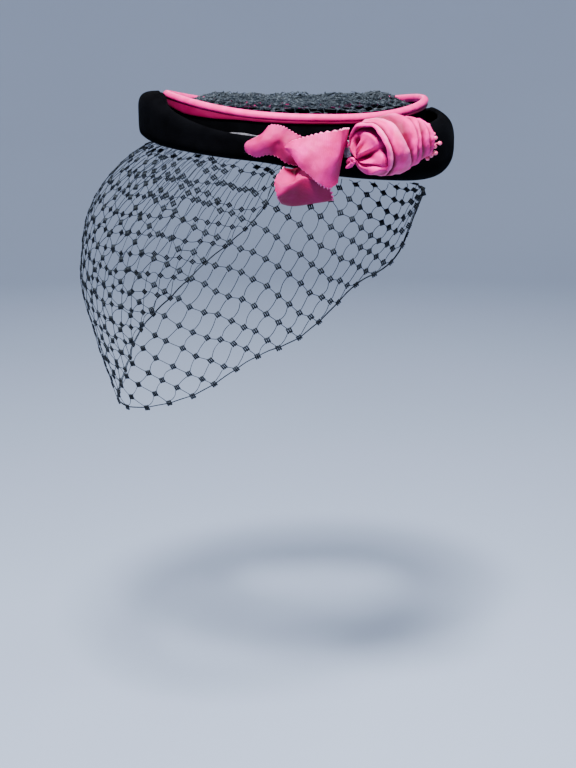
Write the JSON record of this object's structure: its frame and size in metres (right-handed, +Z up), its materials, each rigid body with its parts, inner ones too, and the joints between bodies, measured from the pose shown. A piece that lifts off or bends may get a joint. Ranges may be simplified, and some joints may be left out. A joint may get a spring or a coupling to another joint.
{
  "type": "fascinator",
  "caption": "Open velvet half hat with satin-piped edge, crown net, face veil, ribbon bow and ribbon rose.",
  "frame": {"origin": "centre of the head opening, at the height where the ring sits on a head", "axes": "+Z up as worn, -Y towards the wearer's face, +X towards the wearer's left"},
  "size_m": [0.2355, 0.2193, 0.1859],
  "materials": {
    "velvet": "black cotton velvet, deep matt pile with a faint cool sheen at grazing angles",
    "satin_trim": "rose-pink satin piping, soft sheen",
    "ribbon": "rose-pink satin ribbon with a fine rib, soft sheen",
    "stamen": "rose-pink dipped stamen beads, semi-gloss",
    "lining": "pale grey lining, matt",
    "net": "black fine-thread veiling net, matt",
    "stem_wrap": "grey-lavender stem wrap, matt"
  },
  "bodies": {
    "root": {"velvet_cuff": "velvet", "velvet_collar": "velvet", "satin_piping": "satin_trim", "cuff_lining": "lining", "crown_net": "net", "face_veil": "net", "bow_tail": "ribbon", "bow_panel": "ribbon", "bow_loop": "ribbon", "rose_stem": "stem_wrap", "rose_wrap": "ribbon", "rose_heart": "ribbon", "stamen_1": "stamen", "stamen_2": "stamen", "stamen_3": "stamen", "stamen_4": "stamen", "stamen_5": "stamen", "stamen_6": "stamen", "stamen_7": "stamen", "stamen_8": "stamen"}
  },
  "joints": []
}
